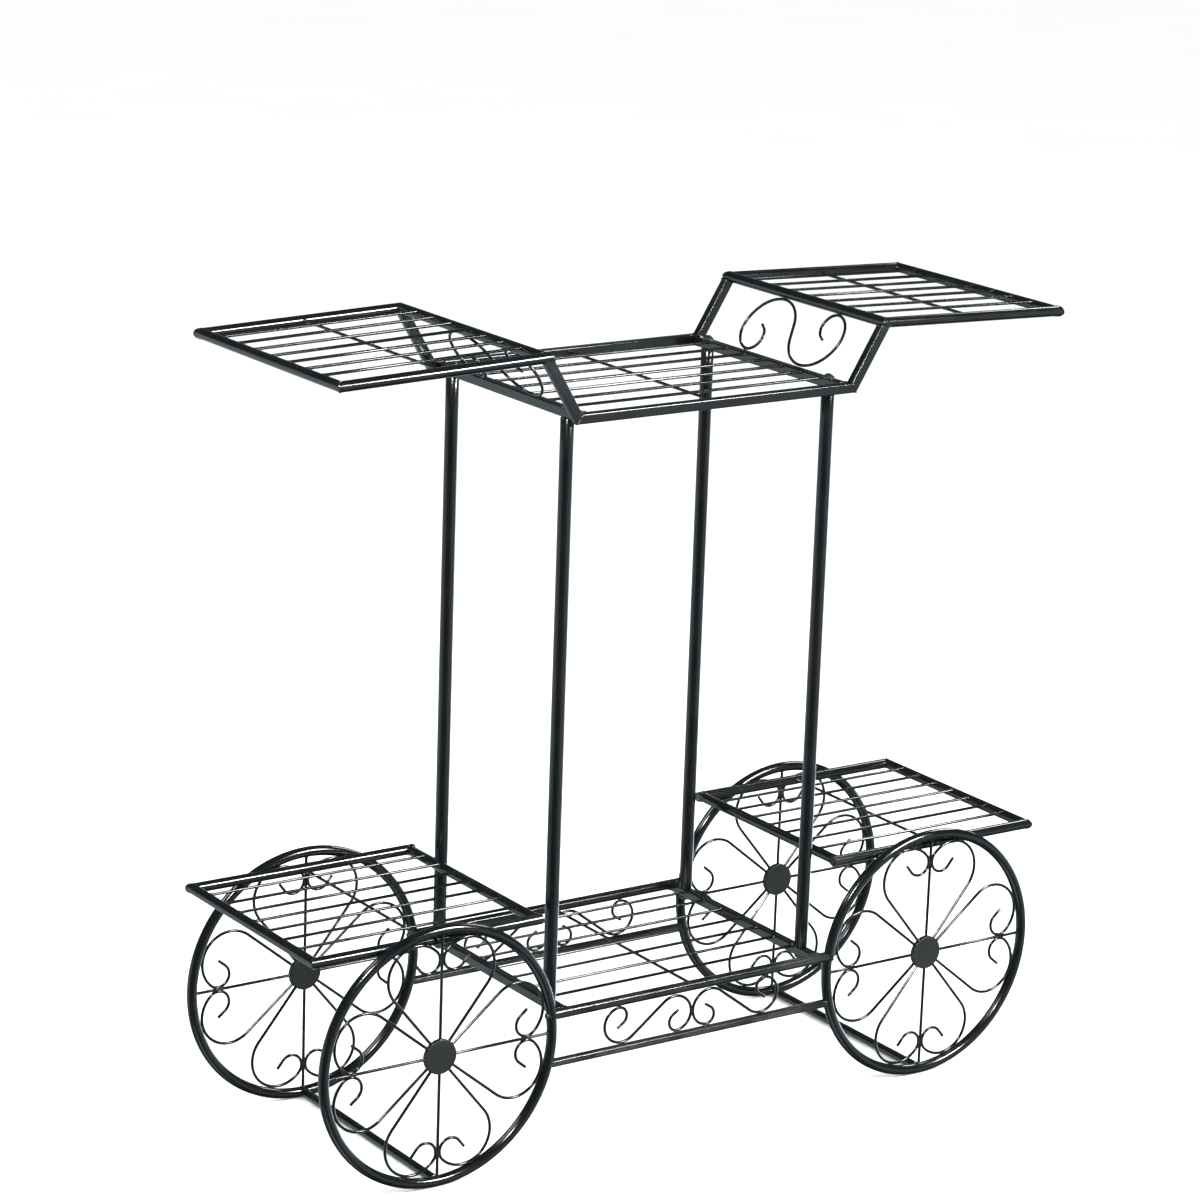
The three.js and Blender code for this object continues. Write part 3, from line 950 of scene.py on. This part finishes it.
SLOPE = math.atan2(UPPER_OUTER_Z - UPPER_Z, UPPER_OUTER_X[0] - KNEE_X)
TIP = math.asin(DROOP / (UPPER_OUTER_X[1] - UPPER_OUTER_X[0]))
RISE = Vector((math.cos(SLOPE), 0, math.sin(SLOPE)))
STRUT_TOP = UPPER_OUTER_Z - 2.6

# Distances from the knee along a strut: its end before it is cut off, and where its weld starts.
STRUT_RUN = 80
STRUT_SEARCH = 55


def tip_matrix(sx):
    """Tips a level outer shelf about its inner bar, so that its far end hangs low, and lifts it up."""
    inner = UPPER_OUTER_X[0]
    tip = Matrix.Translation((inner, 0, UPPER_OUTER_Z)) @ Matrix.Rotation(TIP, 4, "Y")
    return half_turn(sx) @ tip @ Matrix.Translation((-inner, 0, 0))


def kneed_rail(y):
    """A square rail with a strut rising from a mitred knee at each end."""
    knee = Vector((KNEE_X, y, UPPER_Z))
    corners = [knee, knee + RISE * STRUT_RUN]
    mirrored = [Vector((-p.x, p.y, p.z)) for p in reversed(corners)]
    return mitred(mirrored + corners, rounded_square(BAR_HALF, BAR_EDGE), Y)


def knee_beads(y):
    outline = rounded_square(BAR_HALF - 0.1, BAR_EDGE)
    beads = []
    for _, sx in SIDES:
        level, up = Vector((-sx, 0, 0)), Vector((sx * RISE.x, 0, RISE.z))
        beads.append(mitre_bead(Vector((sx * KNEE_X, y, UPPER_Z)), level, up, outline, Y))
    return beads


def inside_shelf_corner(p):
    """Whether a point is in the round tubes at an outer shelf's inner corner, on the right and front."""
    u, v, drop = p.x - UPPER_OUTER_X[0], UPPER_Y - abs(p.y), p.z - UPPER_OUTER_Z
    near = v if u > v else u
    return near**2 + drop**2 < FRAME_TUBE**2


def strut_bead(sx, sy):
    """The weld round a strut's top, where it meets the underside of the shelf's tubes."""
    side = RISE.cross(Y)
    foot = Vector((KNEE_X, sy * UPPER_Y, UPPER_Z))
    outline = [Vector((u, w, 0)) for u, w in rounded_square(BAR_HALF, BAR_EDGE)]
    points = []
    for at in resample(outline + outline[:1], 60)[:-1]:
        place = foot + RISE * STRUT_SEARCH + Y * at.x + side * at.y
        while place.z < STRUT_TOP and not inside_shelf_corner(place):
            place = place + RISE * 0.1
        points.append(Vector((sx * place.x, place.y, place.z)))
    return bead(points, STRUT_BEAD, RISE, ripple=0.3)


def overhead_block():
    """Everything above the strut tops."""
    ahead, aside, tall = 400, 200, 60
    heights = (STRUT_TOP, STRUT_TOP + tall)
    verts = [(x, y, z) for x in (-ahead, ahead) for y in (-aside, aside) for z in heights]
    faces = [(0, 1, 3, 2), (4, 6, 7, 5), (0, 4, 5, 1), (2, 3, 7, 6), (0, 2, 6, 4), (1, 5, 7, 3)]
    return np.array(verts, float), faces


upper_shells = [kneed_rail(sy * UPPER_Y) for _, sy in FACES]
upper_shells += side_bars(UPPER_Y, UPPER_Z) + bar_welds(UPPER_Y, UPPER_Z, True)
upper_cuts = post_holes(UPPER_Z) + [overhead_block()]
for _, sx in SIDES:
    seat = outer_frame_shells(*UPPER_OUTER_X, UPPER_Y, 0, True, FRAME_TUBE + STRUT_TO_SHELF, False)
    upper_cuts += [moved(shell, tip_matrix(sx)) for shell in seat]
for _, sy in FACES:
    upper_shells += knee_beads(sy * UPPER_Y)
coated("upper_centre_frame", upper_shells, upper_cuts)

for side, sx in SIDES:
    tip = tip_matrix(sx)
    shells = [moved(s, tip) for s in outer_frame_shells(*UPPER_OUTER_X, UPPER_Y, 0, True)]
    shells += [strut_bead(sx, sy) for _, sy in FACES]
    coated(f"upper_outer_frame_{side}", shells)
    shells = [moved(s, tip) for s in outer_grid_shells(*UPPER_OUTER_X, UPPER_Y, 0)]
    coated(f"upper_outer_grid_{side}", shells)


def upper_scroll_shells(sx):
    """One S lying in the slope between the side bar and the outer shelf, with its nubs to both."""
    foot = Vector((SIDE_X + 3, 0, UPPER_Z + BAR_HALF))
    slope = Vector((UPPER_OUTER_X[0], 0, UPPER_OUTER_Z)) - foot
    up = slope.normalized()
    half = bend_wire((0, 0), 67.5, ((8.3,), (38.8, -148), (26.7, -89.2), (14.8, -163.3), (4.8,)))
    line = whole_scroll(half)

    def place(p):
        at = foot + up * (SCROLL_UP + SCROLL_SQUEEZE * p.y)
        return Vector((sx * at.x, p.x - SCROLL_FORWARD, at.z))

    def contact_above(p, distance):
        return place(Vector((p.x, (distance - SCROLL_UP) / SCROLL_SQUEEZE)))

    across = up.cross(Y)
    across = Vector((sx * across.x, across.y, across.z))
    shells = [wire([place(p) for p in line], across)]
    high = max(line, key=lambda p: p.y)
    low = min(line, key=lambda p: p.y)
    for end, distance in ((high, slope.length - FRAME_TUBE), (low, 0.4)):
        contact = contact_above(end, distance)
        start = place(end)
        shells.append(wire([start, contact], across))
        shells.append(spot(contact, SPOTS["upper_scroll_nub"], contact - start, Y))
    return shells


for side, sx in SIDES:
    coated(f"upper_scroll_{side}", upper_scroll_shells(sx))


# ---- Posts and their bolts ----


def post_shell(x, y):
    ease, end_size = 0.5, 0.94
    line = [Vector((x, y, POST_LOW)), Vector((x, y, POST_LOW + ease))]
    line += [Vector((x, y, POST_LOW + (POST_HIGH - POST_LOW) * k / 12)) for k in range(1, 12)]
    line += [Vector((x, y, POST_HIGH - ease)), Vector((x, y, POST_HIGH))]
    scales = [end_size] + [1.0] * (len(line) - 2) + [end_size]
    return sweep(line, circle(POST_TUBE, POST_SIDES), X, scales=scales)


# A post bolt, up from the bar that it clamps: shank, washer, head and the head's cross recess.
SHANK = 2 * BAR_HALF + 19.6
WASHER_TOP = 1.2
HEAD_R = 4.75
HEAD_RISE = 3.1
CROWN = 4.32
RECESS_FLOOR, RECESS_TOP = 2.6, 4.9
RECESS_BLADE = [(-2.3, -0.42), (2.3, -0.42), (2.3, 0.42), (-2.3, 0.42)]


def bolt_profile():
    """Washer, then a low round head, from the shank's tip to the crown."""
    shank = [(0, -SHANK), (2.6, -SHANK), (3.0, -SHANK + 0.5)]
    washer = [(3.0, 0.0), (6.0, 0.0), (6.2, 0.2), (6.2, 0.95), (5.95, WASHER_TOP), (HEAD_R, WASHER_TOP)]
    dome = []
    for k in range(9):
        a = math.radians(82 * k / 8)
        dome.append((HEAD_R * math.cos(a), WASHER_TOP + HEAD_RISE * math.sin(a)))
    return shank + washer + dome + [(0, CROWN)]


def cross_recess(centre, axis, turn):
    """The cutter for a cross recess in the crown of a bolt."""
    cutters = []
    tip, base = centre + axis * RECESS_FLOOR, centre + axis * RECESS_TOP
    for k in range(2):
        flat = Matrix.Rotation(turn + math.pi / 2 * k, 3, "Z") @ X
        cutters.append(sweep([tip, base], RECESS_BLADE, flat, scales=[0.55, 1.08]))
    return cutters


for face, sy in FACES:
    for side, sx in SIDES:
        x, y = sx * SIDE_X, sy * POST_Y
        tag = f"{face}_{side}"
        runs = ((POST_LOW - 1, POST_LOW + POST_BORE_DEPTH), (POST_HIGH - POST_BORE_DEPTH, POST_HIGH + 1))
        bores = [sweep([Vector((x, y, z)) for z in run], circle(POST_BORE, 24), X) for run in runs]
        coated(f"post_{tag}", [post_shell(x, y)], bores)
        for level, axis, seat_z in (("upper", Z, UPPER_Z + BAR_HALF), ("lower", -Z, LOWER_Z - BAR_HALF)):
            seat = Vector((x, y, seat_z)) + axis * 0.05
            bolt = lathe(bolt_profile(), seat, axis, 48)
            recess = cross_recess(seat, axis, rng.uniform(0, math.pi))
            piece(f"post_bolt_{level}_{tag}", [bolt], SCREW, recess)


# ---- Floor, light and camera ----


def pale_floor():
    """White and matt to the eye; the glossy coat sees past it to the studio's own dim lower half."""
    n = Nodes(bpy.data.materials.new("pale_floor"))
    shade = n.mix(n.noise(n.where("Object"), 3.0), (0.9, 0.9, 0.9, 1.0), (0.94, 0.94, 0.94, 1.0))
    matt = n.add("ShaderNodeBsdfPrincipled", Base_Color=shade, Roughness=0.9).outputs["BSDF"]
    clear = n.add("ShaderNodeBsdfTransparent").outputs["BSDF"]
    return n.end(n.by_ray(matt, clear))


def make_floor():
    mesh = bpy.data.meshes.new("floor")
    reach = 9.0
    corners = [(-reach, -reach, 0), (reach, -reach, 0), (reach, reach, 0), (-reach, reach, 0)]
    mesh.from_pydata(corners, [], [(0, 1, 2, 3)])
    mesh.materials.append(pale_floor())
    floor = bpy.data.objects.new("floor", mesh)
    bpy.context.scene.collection.objects.link(floor)


# The studio as the coat sees it: dim all round, with pale sides in a band from the horizon down. They are
# soft behind, bright on the right, and soft on the front right and on the left. One more glow lies below,
# on the left. Each is (towards, cosine where it starts, cosine where it is full, strength).
SURROUND = 1.38
DIM = 0.058
PALE_SIDES = (
    ((0.45, 0.89, -0.1), 0.0, 0.95, 0.8),
    ((0.93, 0.34, -0.14), 0.84, 0.97, 2.4),
    ((0.75, -0.65, 0.0), 0.45, 0.95, 0.52),
    ((-0.9, 0.43, -0.2), 0.72, 0.97, 0.6),
)
GLOW_BELOW = ((-0.39, -0.31, -0.85), 0.88, 0.98, 0.9)
FLOOR_BAND = ((-0.8, -0.4), (-0.02, 0.16))
REFLECTED_TINT = (0.80, 0.95, 1.0, 1.0)


def make_world():
    """An even white surround for the camera and for soft light, and a graded one for reflections."""
    world = bpy.data.worlds.new("studio")
    bpy.context.scene.world = world
    n = Nodes(world)
    where = n.where("Generated")
    height = n.add("ShaderNodeSeparateXYZ", Vector=where).outputs["Z"]
    (deep, low), (horizon, above) = FLOOR_BAND
    lower_edge = n.ramp(height, deep, low, 0.0, 1.0, smooth=True)
    upper_edge = n.ramp(height, horizon, above, 1.0, 0.0, smooth=True)
    band = n.math("MULTIPLY", lower_edge, upper_edge)

    def glow(towards, start, full, strength):
        facing = n.add("ShaderNodeVectorMath")
        facing.operation = "DOT_PRODUCT"
        n.put(facing.inputs[0], where)
        n.put(facing.inputs[1], Vector(towards).normalized())
        return n.ramp(facing.outputs["Value"], start, full, 0.0, strength, smooth=True)

    pale = glow(*PALE_SIDES[0])
    for side in PALE_SIDES[1:]:
        pale = n.math("ADD", pale, glow(*side))
    brightness = n.math("ADD", n.math("MULTIPLY", pale, band), DIM)
    brightness = n.math("ADD", brightness, glow(*GLOW_BELOW))
    plain = n.add("ShaderNodeBackground", Strength=SURROUND).outputs["Background"]
    graded = n.add("ShaderNodeBackground", Color=REFLECTED_TINT, Strength=brightness)
    n.end(n.by_ray(plain, graded.outputs["Background"]), "ShaderNodeOutputWorld")


def softbox(name, place, aim, size, power):
    light = bpy.data.lights.new(name, "AREA")
    light.shape = "RECTANGLE"
    light.size, light.size_y = size
    light.energy = power
    made = bpy.data.objects.new(name, light)
    made.location = place
    heading = Vector(aim) - Vector(place)
    made.rotation_euler = heading.to_track_quat("-Z", "Y").to_euler()
    bpy.context.scene.collection.objects.link(made)


LENS = 119.76
CAMERA_PLACE = Vector((-2.26205, -3.23468, 1.60890))
CAMERA_TURN = Vector((1.78627583, -0.52086989, 0.44430404))


def make_camera():
    """A long lens from the front left, a little above the top shelf."""
    data = bpy.data.cameras.new("camera")
    data.sensor_width = 36.0
    data.lens = LENS
    data.clip_start, data.clip_end = 0.05, 100.0
    camera = bpy.data.objects.new("camera", data)
    to_camera = Matrix.Rotation(CAMERA_TURN.length, 3, CAMERA_TURN)
    right, down, forward = to_camera[0], to_camera[1], to_camera[2]
    turn = Matrix((right, -Vector(down), -Vector(forward))).transposed()
    camera.matrix_world = Matrix.Translation(CAMERA_PLACE) @ turn.to_4x4()
    bpy.context.scene.collection.objects.link(camera)
    bpy.context.scene.camera = camera


make_floor()
make_world()
softbox("key_right", (1.0, -1.75, 1.6), (-0.2, -0.1, 0.5), (0.7, 0.55), 95)
softbox("high_left", (-1.7, 0.9, 2.4), (0, 0, 0.4), (0.4, 1.2), 30)
softbox("high_right", (2.4, 0.9, 2.2), (0, 0, 0.4), (0.5, 1.0), 26)
softbox("low_left", (-1.33, -1.55, 1.9), (0.1, -0.1, 0.7), (0.45, 0.25), 45)
make_camera()

view = bpy.context.scene.view_settings
view.view_transform = "Standard"
view.exposure = 0.0
